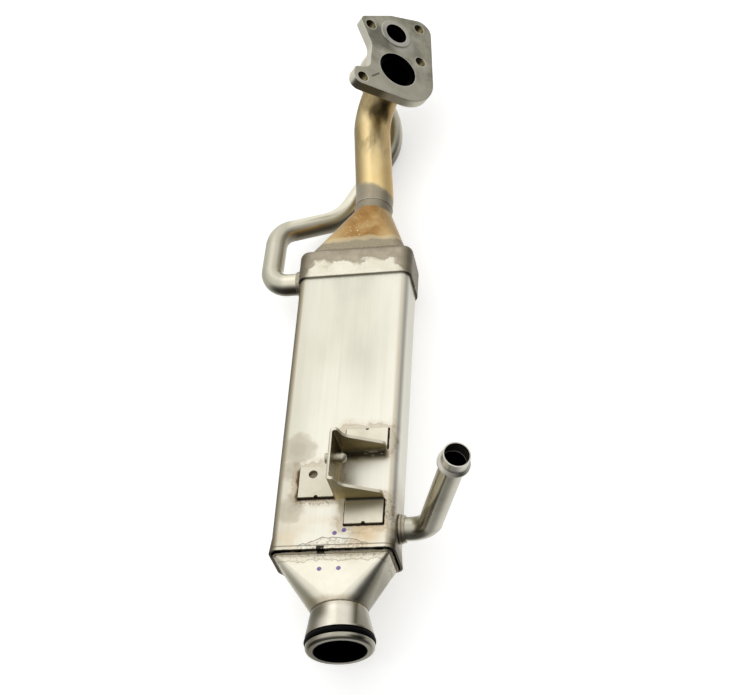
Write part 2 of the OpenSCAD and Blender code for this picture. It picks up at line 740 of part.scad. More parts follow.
casing();
inlet_cap();
inlet_header();
outlet_header();
inlet_diffuser();
outlet_diffuser();
outlet_spigot();
seal_ring();
gas_pipe();
flange();
supply_tube();
return_tube();
supply_ferrule();
return_ferrule();
bracket();
weld_nut();
for (i = [1:tube_count]) {
  gas_tube(i);
  fin_strip(i);
}
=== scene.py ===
"""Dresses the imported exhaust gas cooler: heat-tinted steel, weld beads, braze seams, light and camera."""
import math

import bmesh
import bpy
from mathutils import Matrix, Vector, noise


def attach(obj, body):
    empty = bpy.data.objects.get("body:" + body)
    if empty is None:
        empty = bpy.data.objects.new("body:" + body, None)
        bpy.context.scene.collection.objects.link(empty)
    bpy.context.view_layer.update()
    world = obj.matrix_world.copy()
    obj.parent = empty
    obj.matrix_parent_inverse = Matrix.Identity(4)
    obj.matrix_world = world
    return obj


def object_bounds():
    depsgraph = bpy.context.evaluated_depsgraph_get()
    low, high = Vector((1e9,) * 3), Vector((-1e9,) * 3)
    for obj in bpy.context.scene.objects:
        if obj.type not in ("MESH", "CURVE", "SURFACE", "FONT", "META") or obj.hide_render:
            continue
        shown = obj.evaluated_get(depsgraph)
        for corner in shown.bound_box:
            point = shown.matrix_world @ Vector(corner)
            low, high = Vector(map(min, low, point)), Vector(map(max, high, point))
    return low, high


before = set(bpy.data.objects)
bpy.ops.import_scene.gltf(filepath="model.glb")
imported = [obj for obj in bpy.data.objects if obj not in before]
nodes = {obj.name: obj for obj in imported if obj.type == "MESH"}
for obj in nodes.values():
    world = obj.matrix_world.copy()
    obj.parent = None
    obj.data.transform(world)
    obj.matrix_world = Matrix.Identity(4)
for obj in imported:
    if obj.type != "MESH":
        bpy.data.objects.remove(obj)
cad_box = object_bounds()
scene = bpy.context.scene

MM = 0.001

# Places and sizes in the row frame, in millimetres, as the part's source has them
CASING_X = -7.4
CASING_HALF_W = 41
CASING_Y0 = 62.389
CAP_Y0 = 284.389
CAP_Y1 = 310.889
FACE_Z = 18
NECK_START = Vector((-0.5, 352.889, 0))
NECK_DIR = Vector((0.0332, 0.9994, 0)).normalized()
PIPE_START = Vector((-0.215, 361.484, 0))
PIPE_R = 14.5
RETURN_R = 8.25
SPIGOT_DIR = Vector((-0.0906, 0.9959, 0)).normalized()
SPIGOT_END = Vector((0, 0, 0))
SPIGOT_NECK_R = 18.25
OUTLET_NECK = Vector((-2.447, 26.889, 0))
SUPPLY_END = Vector((84.343, 84.389, 92.188))
SUPPLY_DIR = Vector((0.325568, 0, 0.945519))
FLANGE_C = Vector((18.806, 477.443, 33.706))
FLANGE_U = Vector((0.766044, 0, -0.642788))
FLANGE_V = Vector((0, 1, 0))
FLANGE_N = Vector((0.642788, 0, 0.766044))
FLANGE_T = 8
GAS_PORT_R = 16
COOLANT_PORT_R = 9.2
BOLT_HOLE_R = 4.4

# Radii within which bores are blackened with painted shade, and with soot in the gas bores, half way
# through their walls, and how far down from the mouth
PIPE_BLACK_R = 13.8
TUBE_BLACK_R = 7.8
SPIGOT_BLACK_R = 17.5
BORE_DEPTH = 40
PORT_DEPTH = 12
# Ends of the gas pipe and the return tube inside the flange: radius and depth below its face
PIPE_RIM_R, PIPE_RIM_DEPTH = 15, 4.4
TUBE_RIM_R, TUBE_RIM_DEPTH = 8.8, 3.4
# Heights over which the front of casing and cap begins
FRONT_Z = (8, 16)


def on_flange(u, v):
    """Place on the flange's face, u across it and v along it from the gas port."""
    return FLANGE_C + FLANGE_U * u + FLANGE_V * v


COOLANT_AT = on_flange(-4, 38.4)
BOLTS = [on_flange(u, v) for u, v in ((-27, 36.4), (17, 56.4), (20, 19.8), (-30, -24))]

# Feet of the bracket on the casing: low x, low y, high x, high y
FEET = {
    "left": (-31.9, 99.889, -7.4, 122.889),
    "upper": (-2.4, 135.889, 26.1, 150.889),
    "lower": (0.6, 79.389, 26.1, 96.889),
}
LEFT_FOOT_HOLE = (-22.7, 116.9)

# Marks on the finishes
SCRATCH = [on_flange(u, v) for u, v in ((-22.4, -19.6), (-16.1, -12.8))]
DULL_AT = on_flange(-17, 27)
BETWEEN_PORTS = on_flange(9, 31)
SMEAR_AT = on_flange(2, 31.4)
SOOT_AT = Vector((0, 453, 15))
STRAW_AT = (16, 73)
CASING_DOTS = ((-5.4, 73.9), (0.7, 75.8))
CONE_DOTS = ((-14.0, 49.6), (-1.4, 49.8))
# Grey ghosts of flux on the casing: x, y and reach
STAINS = ((-35, 138, 11), (-40, 122, 7), (-36, 92, 9))
# Crusts of spilt braze on the casing: low x, low y, high x, high y
SPILLS = ((-33, 96, -9, 99), (28, 80, 33, 98))
# Black tab in the seam at the lower end of the casing: low x, low y, high x, high y
TAB = (-16.3, 61, -11.7, 64.3)
# Way in which the underside of a coolant tube faces
UNDERSIDE = Vector((0.25, -0.85, -0.47))

# Tones that are used more than once
# Black of painted shade and soot in the bores
SOOT_AND_SHADE_BLACK = "0b0a09"
BRAZE_BLACK = "14110c"
TAB_BLACK = "12100b"
PAINT_PURPLE = "5b4a8f"
SPIGOT_SHADE = "6b6651"
FLANGE_DULL = "6d6b5e"


def colour(code):
    """Linear colour of a six-figure sRGB code."""
    parts = [int(code[i:i + 2], 16) / 255 for i in (0, 2, 4)]
    return [p / 12.92 if p <= 0.04045 else ((p + 0.055) / 1.055) ** 2.4 for p in parts] + [1.0]


class Steps:
    """Steps in one node tree: each call adds a step and hands back its output."""

    def __init__(self, tree):
        self.tree = tree

    def add(self, kind):
        """A new node."""
        return self.tree.nodes.new(kind)

    def join(self, value, socket):
        """Links an output to a socket, or sets the socket to a plain value."""
        if isinstance(value, bpy.types.NodeSocket):
            self.tree.links.new(value, socket)
        else:
            socket.default_value = value

    def axes(self, value):
        """X, Y and Z of a vector."""
        step = self.add("ShaderNodeSeparateXYZ")
        self.join(value, step.inputs[0])
        return step.outputs

    def math(self, how, a, b=0.0):
        """One sum with numbers or outputs."""
        step = self.add("ShaderNodeMath")
        step.operation = how
        self.join(a, step.inputs[0])
        self.join(b, step.inputs[1])
        return step.outputs[0]

    def plus(self, value, other, share=1.0):
        """A value and a share of another."""
        return self.math("ADD", value, self.math("MULTIPLY", other, share))

    def product(self, *values):
        """All values multiplied."""
        out = values[0]
        for value in values[1:]:
            out = self.math("MULTIPLY", out, value)
        return out

    def apart(self, value, middle):
        """How far a value is from a middle."""
        return self.math("ABSOLUTE", self.math("SUBTRACT", value, middle))

    def span(self, value, low, high, out_low, out_high):
        """Smooth step from one output to another over a range."""
        step = self.add("ShaderNodeMapRange")
        step.interpolation_type = "SMOOTHSTEP"
        self.join(value, step.inputs[0])
        for socket, number in zip(step.inputs[1:5], (low, high, out_low, out_high)):
            socket.default_value = number
        return step.outputs[0]

    def rise(self, value, low, high, share=1.0):
        """0 below a range and a share above it."""
        return self.span(value, low, high, 0.0, share)

    def fall(self, value, low, high, share=1.0):
        """A share below a range and 0 above it."""
        return self.span(value, low, high, share, 0.0)

    def near(self, value, middle, core, fade):
        """1 where a value lies on a line, 0 away from it."""
        return self.fall(self.apart(value, middle), core, core + fade)


class Finish(Steps):
    """A procedural material. Its places and distances are in millimetres."""

    def __init__(self, name, metallic=1.0):
        self.material = bpy.data.materials.new(name)
        self.material.use_nodes = True
        super().__init__(self.material.node_tree)
        self.shader = self.tree.nodes["Principled BSDF"]
        self.shader.inputs["Metallic"].default_value = metallic
        self.metres = self.add("ShaderNodeTexCoord").outputs["Object"]
        self.place = self.vector("MULTIPLY", self.metres, (1 / MM, 1 / MM, 1 / MM))
        self.x, self.y, self.z = self.axes(self.place)
        geometry = self.add("ShaderNodeNewGeometry")
        self.normal = geometry.outputs["Normal"]
        self.true_normal = geometry.outputs["True Normal"]

    def vector(self, how, a, b=(0, 0, 0)):
        """One sum with vectors."""
        step = self.add("ShaderNodeVectorMath")
        step.operation = how
        self.join(a, step.inputs[0])
        self.join(b, step.inputs[1])
        return step.outputs["Value" if how in ("LENGTH", "DOT_PRODUCT") else "Vector"]

    def noise(self, scale, stretch=(1, 1, 1), detail=3.0, rough=0.5):
        """Noise over the piece, with a scale per metre."""
        mapping = self.add("ShaderNodeMapping")
        mapping.inputs["Scale"].default_value = stretch
        self.join(self.metres, mapping.inputs["Vector"])
        step = self.add("ShaderNodeTexNoise")
        self.join(mapping.outputs[0], step.inputs["Vector"])
        step.inputs["Scale"].default_value = scale
        step.inputs["Detail"].default_value = detail
        step.inputs["Roughness"].default_value = rough
        return step.outputs[0]

    def sheen(self, value, low, high):
        """Roughness that follows noise from a low to a high value."""
        return self.span(value, 0.3, 0.7, low, high)

    def sway(self, value, reach):
        """Noise brought about zero and stretched to a reach."""
        return self.math("MULTIPLY", self.math("SUBTRACT", value, 0.5), reach)

    def ramp(self, value, stops):
        """Colour that runs through the codes of its stops."""
        step = self.add("ShaderNodeValToRGB")
        self.join(value, step.inputs[0])
        elements = step.color_ramp.elements
        while len(elements) < len(stops):
            elements.new(0.5)
        for element, (at, code) in zip(elements, stops):
            element.position = at
            element.color = colour(code)
        return step.outputs[0]

    def mix(self, share, a, b):
        """Mixes two colours, each a code or an output."""
        step = self.add("ShaderNodeMix")
        step.data_type = "RGBA"
        step.clamp_factor = True
        self.join(share, step.inputs[0])
        self.join(colour(a) if isinstance(a, str) else a, step.inputs[6])
        self.join(colour(b) if isinstance(b, str) else b, step.inputs[7])
        return step.outputs[2]

    def tint(self, base, tone, *masks):
        """Lays a tone over a base, as far as the product of its masks lets it."""
        return self.mix(self.product(*masks), base, tone)

    def from_box(self, low_x, low_y, high_x, high_y):
        """Distance from a rectangle, seen along Z."""
        squares = []
        for axis, low, high in ((self.x, low_x, high_x), (self.y, low_y, high_y)):
            off = self.math("SUBTRACT", self.apart(axis, (low + high) / 2), (high - low) / 2)
            off = self.math("MAXIMUM", off, 0.0)
            squares.append(self.product(off, off))
        return self.math("SQRT", self.math("ADD", *squares))

    def from_point(self, px, py):
        """Distance from a point, seen along Z."""
        dx = self.math("SUBTRACT", self.x, px)
        dy = self.math("SUBTRACT", self.y, py)
        return self.math("SQRT", self.math("ADD", self.product(dx, dx), self.product(dy, dy)))

    def away(self, point):
        """Distance from a point in space."""
        return self.vector("LENGTH", self.vector("SUBTRACT", self.place, point))

    def along(self, point, axis):
        """How far a place lies along an axis from a point."""
        return self.vector("DOT_PRODUCT", self.vector("SUBTRACT", self.place, point), axis)

    def from_line(self, point, axis):
        """Distance from a straight line."""
        off = self.vector("SUBTRACT", self.place, point)
        return self.vector("LENGTH", self.vector("CROSS_PRODUCT", off, axis))

    def turned_to(self, axis):
        """How far the surface faces along an axis."""
        return self.vector("DOT_PRODUCT", self.normal, axis)

    def soot_and_shade_in_bore(self, base, mouth, axis, radius, depth):
        """Blackens what lies inside a bore, down to a depth from its mouth: painted shade, and soot in the
        gas bores.
        """
        inside = self.fall(self.from_line(mouth, axis), radius - 0.2, radius + 0.1)
        deep = self.rise(self.along(mouth, axis), -depth - 4, -depth)
        outward = self.rise(self.turned_to(axis), -0.35, -0.15)
        return self.tint(base, SOOT_AND_SHADE_BLACK, inside, deep, outward)

    def dots(self, base, places, front):
        """Dots of purple paint on the front."""
        for px, py in places:
            dot = self.fall(self.from_point(px, py), 1.35, 1.75)
            base = self.tint(base, PAINT_PURPLE, dot, front, 0.85)
        return base

    def done(self, base, gloss, height, bump, edge=0.0):
        """Joins colour, gloss and fine bumps, over edges that look rounded by a radius."""
        self.join(base, self.shader.inputs["Base Color"])
        self.join(gloss, self.shader.inputs["Roughness"])
        relief = self.add("ShaderNodeBump")
        relief.inputs["Distance"].default_value = bump * MM
        self.join(height, relief.inputs["Height"])
        if edge:
            worn = self.add("ShaderNodeBevel")
            worn.samples = 8
            worn.inputs["Radius"].default_value = edge * MM
            self.join(worn.outputs[0], relief.inputs["Normal"])
        self.join(relief.outputs[0], self.shader.inputs["Normal"])
        return self.material


def drawn_steel():
    """Pale drawn sheet of the casing: streaks, braze flow round the feet, heat at the lower end, and
    painted light and shade.
    """
    f = Finish("casing_drawn_steel")
    streaks = f.noise(1.0, (900, 8, 900), 4.0, 0.6)
    clouds = f.noise(22.0, (1, 0.45, 1))
    grain = f.noise(2600.0, detail=2.0, rough=0.6)
    spill = f.noise(620.0, rough=0.65)
    uneven = f.sway(f.noise(130.0, rough=0.55), 14)
    front = f.rise(f.z, *FRONT_Z)
    across = f.apart(f.x, CASING_X)
    rough_y = f.plus(f.y, uneven)

    # The sheet itself, paler low down, painted light on the right, painted shade on the left and along its
    # folds
    base = f.ramp(clouds, [(0.34, "d4d2c1"), (0.50, "e4e1d0"), (0.68, "efecdd")])
    base = f.tint(base, "bdb7a3", f.rise(streaks, 0.45, 0.75, 0.08))
    base = f.tint(base, "f5f1e2", f.fall(f.y, 150, 240, 0.55))
    base = f.tint(base, "a9a48f", f.fall(f.x, -48, -20, 0.35))
    base = f.tint(base, "675f47", f.fall(f.x, -48, -42, 0.9), f.rise(f.z, 2, 10))
    base = f.tint(base, "f6f2e4", f.rise(f.x, 4, 26, 0.5))
    fold = f.near(across, CASING_HALF_W - 4, 0.4, 1.4)
    base = f.tint(base, "bd9f62", fold, front, f.span(clouds, 0.35, 0.6, 0.1, 0.32))

    # Braze that flowed out round the feet of the bracket, and flux beside it
    flow = f.from_box(*FEET["left"])
    for side in ("upper", "lower"):
        flow = f.math("MINIMUM", flow, f.from_box(*FEET[side]))
    flow = f.plus(flow, uneven)
    base = f.tint(base, "bba583", f.fall(flow, 1, 10, 0.55), front)
    base = f.tint(base, "d3ccb8", f.fall(flow, 2.4, 4.2, 0.5), front)
    base = f.tint(base, "75644a", f.near(flow, 4.3, 0.2, 0.9), front, 0.22)
    for px, py, reach in STAINS:
        off = f.plus(f.from_point(px, py), uneven, 0.7)
        base = f.tint(base, "b3ac98", f.fall(off, reach - 7, reach + 3, 0.75), front)
        base = f.tint(base, "a2927a", f.near(off, reach - 1, 0.4, 3.4), front, 0.25)

    # Scorched border of the left foot, and painted shade on the sheet seen through its hole
    burn = f.plus(f.from_box(*FEET["left"]), uneven, 0.3)
    scorched = f.product(f.span(f.x, -31, -27, 1.0, 0.55), f.fall(f.y, 120, 123))
    base = f.tint(base, "8a6f4c", f.fall(burn, 0.8, 4.5, 0.7), scorched, front)
    base = f.tint(base, "4d3f2a", f.fall(burn, 1.1, 2.6, 0.9), scorched, front)
    painted_hole_shade = f.span(f.from_point(*LEFT_FOOT_HOLE), 1.6, 3.2, 0.45, 0.7)
    base = f.tint(base, "5d5446", painted_hole_shade, f.fall(burn, 0.0, 0.2), front)

    # Painted shade, broken by painted glints, below the upper wall of the bracket, then crusts of spilt
    # braze
    beneath = f.product(f.rise(f.y, 125, 131.5), f.fall(f.y, 134, 134.6))
    beneath = f.product(beneath, f.rise(f.x, -8, -3), f.fall(f.x, 24, 28))
    glint = f.span(f.noise(330.0, (0.3, 2.0, 1), rough=0.6), 0.56, 0.66, 1.0, 0.35)
    base = f.tint(base, "2b2517", beneath, front, glint, 0.95)
    for rect in SPILLS:
        off = f.plus(f.from_box(*rect), uneven, 0.3)
        crust = f.product(f.fall(off, 0.5, 3.0), f.rise(spill, 0.50, 0.60, 0.55))
        base = f.tint(base, "7d745f", crust, front)

    # Heat tints at the lower end
    warm = f.product(f.rise(f.x, 30, 35.5), f.fall(rough_y, 98, 125))
    base = f.tint(base, "8b7653", warm, 0.5)
    heat = f.rise(f.noise(48.0, (1, 1.6, 1)), 0.42, 0.66)
    base = f.tint(base, "dcc093", f.fall(f.y, 70, 98), heat, 0.34)
    straw = f.plus(f.from_point(*STRAW_AT), uneven, 0.6)
    base = f.tint(base, "d9b67c", f.fall(straw, 1, 18, 0.5), front)

    # Arched edge of the braze above the lower seam, with a crust below it
    wander = f.sway(f.noise(90.0, (1, 0.01, 0.01), rough=0.55), 8)
    bow = f.span(f.apart(f.x, -5), 8, 25, 4.5, -1.5)
    arch = f.math("SUBTRACT", f.y, f.plus(wander, bow))
    middle = f.product(f.rise(f.x, -31, -27), f.fall(f.x, 15, 19))
    seam = f.near(arch, CASING_Y0 + 3.4, 0.1, 0.4)
    base = f.tint(base, "564937", seam, front, middle, 0.75)
    crust = f.product(f.fall(arch, CASING_Y0 + 3.0, CASING_Y0 + 3.4), f.rise(spill, 0.48, 0.58, 0.4))
    base = f.tint(base, "6f6450", crust, front, middle)

    # Lip, painted shade on the lower corners, black tab and black line of the lower seam
    base = f.tint(base, "5a4c38", f.near(f.y, CASING_Y0 + 2.7, 0.15, 0.5), 0.7)
    lower_corner_shade = f.rise(across, CASING_HALF_W - 7, CASING_HALF_W)
    base = f.tint(base, "5f503a", lower_corner_shade, f.fall(rough_y, 66, 80, 0.85))
    tab = f.fall(f.plus(f.from_box(*TAB), uneven, 0.12), 0.1, 0.5, 0.95)
    base = f.tint(base, TAB_BLACK, tab, front)
    foot = f.plus(f.y, uneven, 0.09)
    line = f.fall(foot, CASING_Y0 + 0.05, CASING_Y0 + 0.35, 0.95)
    base = f.tint(base, BRAZE_BLACK, line, front)
    base = f.dots(base, CASING_DOTS, front)
    return f.done(base, f.span(streaks, 0.3, 0.75, 0.38, 0.46), f.plus(streaks, grain, 0.5), 0.007)


def cone_steel():
    """Pale pressed sheet of the outlet diffuser, with braze flow under the casing and painted shade on its
    side walls.
    """
    f = Finish("outlet_cone_steel")
    grain = f.noise(1500.0, (1, 0.2, 1), rough=0.6)
    base = f.ramp(f.noise(34.0), [(0.30, "ded8c2"), (0.52, "ebe6d3"), (0.75, "f1eddd")])
    warp = f.sway(f.noise(150.0, (1, 0.3, 1), rough=0.6), 9)
    top = f.math("SUBTRACT", f.y, warp)
    base = f.tint(base, "bda888", f.rise(top, 53, 59, 0.2))
    base = f.tint(base, "7a6a52", f.near(top, 55.8, 0.15, 0.6), 0.4)
    crust = f.rise(f.noise(620.0, rough=0.65), 0.52, 0.62)
    base = f.tint(base, "6f6049", crust, f.rise(top, 54, 58), 0.45)
    base = f.tint(base, "a48e68", f.fall(f.plus(f.y, warp, 0.5), 28, 33, 0.5))
    base = f.dots(base, CONE_DOTS, f.rise(f.z, 6, 10))
    # The flat front widens from the neck up, and the side walls lie beside it: painted shade on the side
    # walls, deepest on the right
    above_neck = f.math("SUBTRACT", f.y, 27)
    middle = f.plus(-2.4, above_neck, -0.16)
    half_front = f.plus(10.0, above_neck, 0.84)
    beside = f.math("SUBTRACT", f.apart(f.x, middle), half_front)
    base = f.tint(base, "989380", f.rise(beside, -1, 4, 0.5))
    base = f.tint(base, "6f6b5a", f.rise(beside, -1, 4), f.rise(f.x, 0, 6), 0.6)
    base = f.tint(base, "837d58", f.rise(beside, -2, 4), f.fall(f.x, -12, -6), 0.4)
    return f.done(base, f.sheen(grain, 0.28, 0.40), grain, 0.02)


def rim_steel():
    """Brazed rim between casing and diffuser: pale metal with black breaks in the braze."""
    f = Finish("header_rim_steel")
    grain = f.noise(700.0, rough=0.6)
    base = f.ramp(grain, [(0.3, "b0a58d"), (0.7, "d3cab4")])
    level = f.plus(f.y, f.sway(f.noise(140.0, (1, 0.2, 1), rough=0.55), 3))
    level = f.plus(level, f.fall(f.x, -46, -22, 0.7))
    base = f.tint(base, BRAZE_BLACK, f.rise(level, CASING_Y0 - 0.4, CASING_Y0 - 0.1))
    base = f.tint(base, TAB_BLACK, f.fall(f.from_box(*TAB), 0.1, 0.5, 0.95))
    return f.done(base, f.sheen(grain, 0.4, 0.55), grain, 0.05)


def tinted_cap():
    """Cap sheet: a grey-brown heat tint from the top and the sides, paler steel in the middle, painted
    shade on its sides.
    """
    f = Finish("cap_tinted_steel")
    blotch = f.noise(95.0, detail=4.0, rough=0.55)
    fine = f.noise(700.0, rough=0.6)
    across = f.apart(f.x, CASING_X)
    level = f.plus(f.y, f.sway(blotch, 30))
    level = f.plus(level, f.rise(across, CASING_HALF_W - 13, CASING_HALF_W, 14))
    pale = f.ramp(f.noise(60.0), [(0.3, "e8e2ce"), (0.7, "f2eedc")])
    heated = f.ramp(blotch, [(0.25, "9a907e"), (0.55, "b1a792"), (0.8, "c5bba6")])
    base = f.tint(pale, heated, f.rise(level, 294, 299.5))
    # Painted shade on the sides, more on the left
    base = f.tint(base, "6e6553", f.rise(across, CASING_HALF_W - 10, CASING_HALF_W - 1, 0.6))
    base = f.tint(base, "5d5545", f.fall(f.x, -47, -38, 0.5))
    base = f.tint(base, "7f735f", f.near(level, 298, 0.3, 1.4), 0.15)
    base = f.tint(base, "3a332a", f.fall(f.y, CAP_Y0, CAP_Y0 + 0.8, 0.6), f.rise(f.z, *FRONT_Z))
    return f.done(base, f.sheen(fine, 0.38, 0.54), fine, 0.03)


def gold_cone():
    """Inlet diffuser: straw to orange oxide with bright spatter, a grey base band and a grey neck."""
    f = Finish("inlet_cone_gold")
    blotch = f.noise(70.0, detail=4.0, rough=0.55)
    fine = f.noise(900.0, rough=0.6)
    gold = f.ramp(blotch, [(0.25, "8f6a3d"), (0.5, "ab8550"), (0.75, "c6a976")])
    gold = f.tint(gold, "8a5f33", f.rise(fine, 0.5, 0.75, 0.35))
    spatter = f.rise(f.noise(700.0, detail=1.0, rough=0.4), 0.66, 0.72)
    sprayed = f.product(f.rise(f.y, 318, 326), f.fall(f.y, 338, 350), f.span(f.x, -4, 6, 1.0, 0.25))
    gold = f.tint(gold, "efe4c8", spatter, sprayed, 0.6)
    gold = f.tint(gold, "dec795", f.fall(f.x, -32, -10, 0.6))
    gold = f.tint(gold, "dcc290", f.rise(f.x, 6, 20, 0.6))
    level = f.plus(f.y, f.sway(blotch, 9))
    grey_foot = f.ramp(fine, [(0.3, "8a806b"), (0.7, "b3a88f")])
    base = f.tint(grey_foot, gold, f.rise(level, 318.5, 322))
    base = f.tint(base, "d8caa6", f.near(level, 321, 0.8, 2.2), 0.5)
    lean = f.plus(f.plus(f.y, f.x, 0.06), f.sway(blotch, 4))
    grey_neck = f.ramp(fine, [(0.3, "928975"), (0.7, "aba18b")])
    base = f.tint(base, grey_neck, f.rise(lean, 352.6, 355))
    return f.done(base, f.sheen(fine, 0.36, 0.48), fine, 0.02)


def gold_pipe():
    """Gas pipe: straw oxide, grey at the neck, soot below the flange, painted shade on its sides, and soot
    and painted shade in the bore.
    """
    f = Finish("gas_pipe_gold")
    blotch = f.noise(55.0, (1, 0.5, 1))
    fine = f.noise(900.0, (1, 0.15, 1), rough=0.6)
    base = f.ramp(blotch, [(0.25, "e6c27c"), (0.5, "f7db9e"), (0.78, "fbe6b6")])
    # Painted shade on the sides: a deeper gold on the right, darker on the left
    beside = f.plus(f.x, f.math("SUBTRACT", f.y, 371.8), 0.091)
    base = f.tint(base, "c69c52", f.rise(beside, 8, 14, 0.5))
    base = f.tint(base, "8f7a48", f.fall(beside, -14, -1, 0.95))
    olive = f.rise(f.noise(85.0, (1, 0.35, 1), 4.0, 0.6), 0.5, 0.66, 0.5)
    base = f.tint(base, "8f7c48", olive, f.rise(f.y, 395, 425))
    level = f.plus(f.y, f.sway(blotch, 12))
    base = f.tint(base, "a69c86", f.fall(f.plus(level, f.x, 0.45), 374, 379))
    base = f.tint(base, "6f6146", f.rise(level, 447, 470, 0.65))
    cloud = f.plus(f.away(SOOT_AT), f.sway(f.noise(120.0, (1, 0.4, 1)), 14))
    base = f.tint(base, "2f281b", f.fall(cloud, 4, 15, 0.85))
    base = f.soot_and_shade_in_bore(base, FLANGE_C, FLANGE_N, PIPE_BLACK_R, BORE_DEPTH)
    base = f.soot_and_shade_in_bore(base, FLANGE_C, FLANGE_N, PIPE_RIM_R, PIPE_RIM_DEPTH)
    return f.done(base, f.sheen(fine, 0.30, 0.42), fine, 0.02)


def tube_steel(name, dark, middle, light, rough, underside_shade=0.0):
    """Satin coolant tube, blackened with painted shade in the bore and darkened with painted shade on its
    underside.
    """
    f = Finish(name)
    clouds = f.noise(40.0)
    fine = f.noise(1100.0, rough=0.6)
    base = f.ramp(clouds, [(0.3, dark), (0.55, middle), (0.8, light)])
    base = f.tint(base, "a79f8a", f.rise(fine, 0.45, 0.75, 0.1))
    # Painted shade on the underside
    base = f.tint(base, "4d412a", f.rise(f.turned_to(UNDERSIDE), 0.05, 0.6, underside_shade))
    base = f.tint(base, "a19e8c", f.fall(f.x, -68, -62, 0.5))
    base = f.soot_and_shade_in_bore(base, COOLANT_AT, FLANGE_N, TUBE_BLACK_R, BORE_DEPTH)
    base = f.soot_and_shade_in_bore(base, COOLANT_AT, FLANGE_N, TUBE_RIM_R, TUBE_RIM_DEPTH)
    # The supply tube's mouth: bright collar, and painted shade as a black bore and grey wall, with a
    # painted highlight as a light ring at its step
    depth = f.along(SUPPLY_END, SUPPLY_DIR)
    collar = f.rise(depth, -11, -10)
    base = f.tint(base, "eeebe0", collar, f.fall(f.away(SUPPLY_END), 18, 20, 0.6))
    base = f.soot_and_shade_in_bore(base, SUPPLY_END - SUPPLY_DIR, SUPPLY_DIR, TUBE_BLACK_R + 0.1, BORE_DEPTH)
    wall = f.fall(f.from_line(SUPPLY_END, SUPPLY_DIR), TUBE_BLACK_R - 0.1, TUBE_BLACK_R + 0.1)
    step = f.product(f.near(depth, -9, 0.25, 0.3), wall)
    mouth = f.product(f.rise(depth, -9.2, -8.8), f.fall(depth, -1.4, -1), wall)
    base = f.tint(base, "34332f", mouth)
    base = f.tint(base, "d9d6ca", step)
    bare = f.math("SUBTRACT", 1.0, f.math("MAXIMUM", mouth, step))
    f.join(bare, f.shader.inputs["Metallic"])
    gloss = f.sheen(clouds, rough, rough + 0.08)
    return f.done(base, f.math("MAXIMUM", gloss, f.product(collar, 0.36)), fine, 0.004)


def flange_steel():
    """Matt machined plate with mottled grey stains, bright hole edges, painted light and shade on its sides
    and in its bolt holes, and dark bores: painted shade, and soot in the gas port.
    """
    f = Finish("flange_matt_steel")
    stain = f.noise(60.0, detail=4.0, rough=0.6)
    fine = f.noise(800.0, detail=4.0, rough=0.65)
    height = f.along(FLANGE_C, FLANGE_N)
    across = f.along(FLANGE_C, FLANGE_U)
    face = f.rise(height, -0.6, -0.2)

    # Stains and smears of the plate
    base = f.ramp(stain, [(0.28, "858371"), (0.5, "b7b4a1"), (0.75, "dad7c7")])
    base = f.tint(base, "86826f", f.rise(fine, 0.5, 0.8, 0.35))
    base = f.tint(base, FLANGE_DULL, f.fall(f.plus(f.away(DULL_AT), stain, 16), 15, 27, 0.65))
    base = f.tint(base, FLANGE_DULL, f.fall(f.away(BETWEEN_PORTS), 4, 14, 0.4))
    base = f.tint(base, "e2dfd4", f.fall(f.plus(f.away(SMEAR_AT), stain, 18), 17, 24, 0.5))
    base = f.tint(base, "d8d2bf", f.fall(f.y, 462, 488, 0.6))

    # Painted light on the sides facing left, painted shade and painted light on the low side, and the paler
    # raised pad of the coolant port
    base = f.tint(base, "f2efdf", f.rise(f.turned_to(-FLANGE_U), 0.5, 0.8, 0.8))
    low_side = f.rise(f.turned_to(-FLANGE_V), 0.5, 0.8)
    base = f.tint(base, "4c4838", low_side, f.fall(across, -14, -4, 0.8))
    base = f.tint(base, "dcd7c2", low_side, f.rise(across, -4, 6, 0.5))
    base = f.tint(base, "dedbd0", f.rise(height, 0.1, 0.4, 0.4))

    # Bright hole edges, black ports of painted shade with soot in the gas port, and bolt holes with painted
    # light and shade
    holes = [(FLANGE_C, GAS_PORT_R), (COOLANT_AT, COOLANT_PORT_R)] + [(b, BOLT_HOLE_R) for b in BOLTS]
    for at, radius in holes:
        edge = f.near(f.from_line(at, FLANGE_N), radius + 0.5, 0.3, 0.3)
        base = f.tint(base, "e4e1d6", edge, face, 0.5)
    base = f.soot_and_shade_in_bore(base, FLANGE_C - FLANGE_N * 0.3, FLANGE_N, GAS_PORT_R + 0.2, PORT_DEPTH)
    base = f.soot_and_shade_in_bore(base, COOLANT_AT + FLANGE_N * 0.5, FLANGE_N, COOLANT_PORT_R + 0.2, PORT_DEPTH)
    for at in BOLTS:
        lit = f.product(f.rise(f.along(at, FLANGE_U - FLANGE_V), -4, 1), f.rise(height, -9, -5))
        inside = f.fall(f.from_line(at, FLANGE_N), BOLT_HOLE_R + 0.05, BOLT_HOLE_R + 0.2, 0.95)
        base = f.tint(base, f.mix(lit, "2a2313", "d6c89d"), inside)

    # One scratch beside the gas port
    way = SCRATCH[1] - SCRATCH[0]
    along = f.along(SCRATCH[0], way.normalized())
    scratch = f.product(f.rise(along, -0.5, 0.5), f.fall(along, way.length - 0.5, way.length + 0.5))
    off = f.from_line(SCRATCH[0], way.normalized())
    base = f.tint(base, "4c473b", scratch, face, f.fall(off, 0.4, 1.1, 0.75))
    return f.done(base, f.sheen(fine, 0.44, 0.58), fine, 0.03, 0.9)


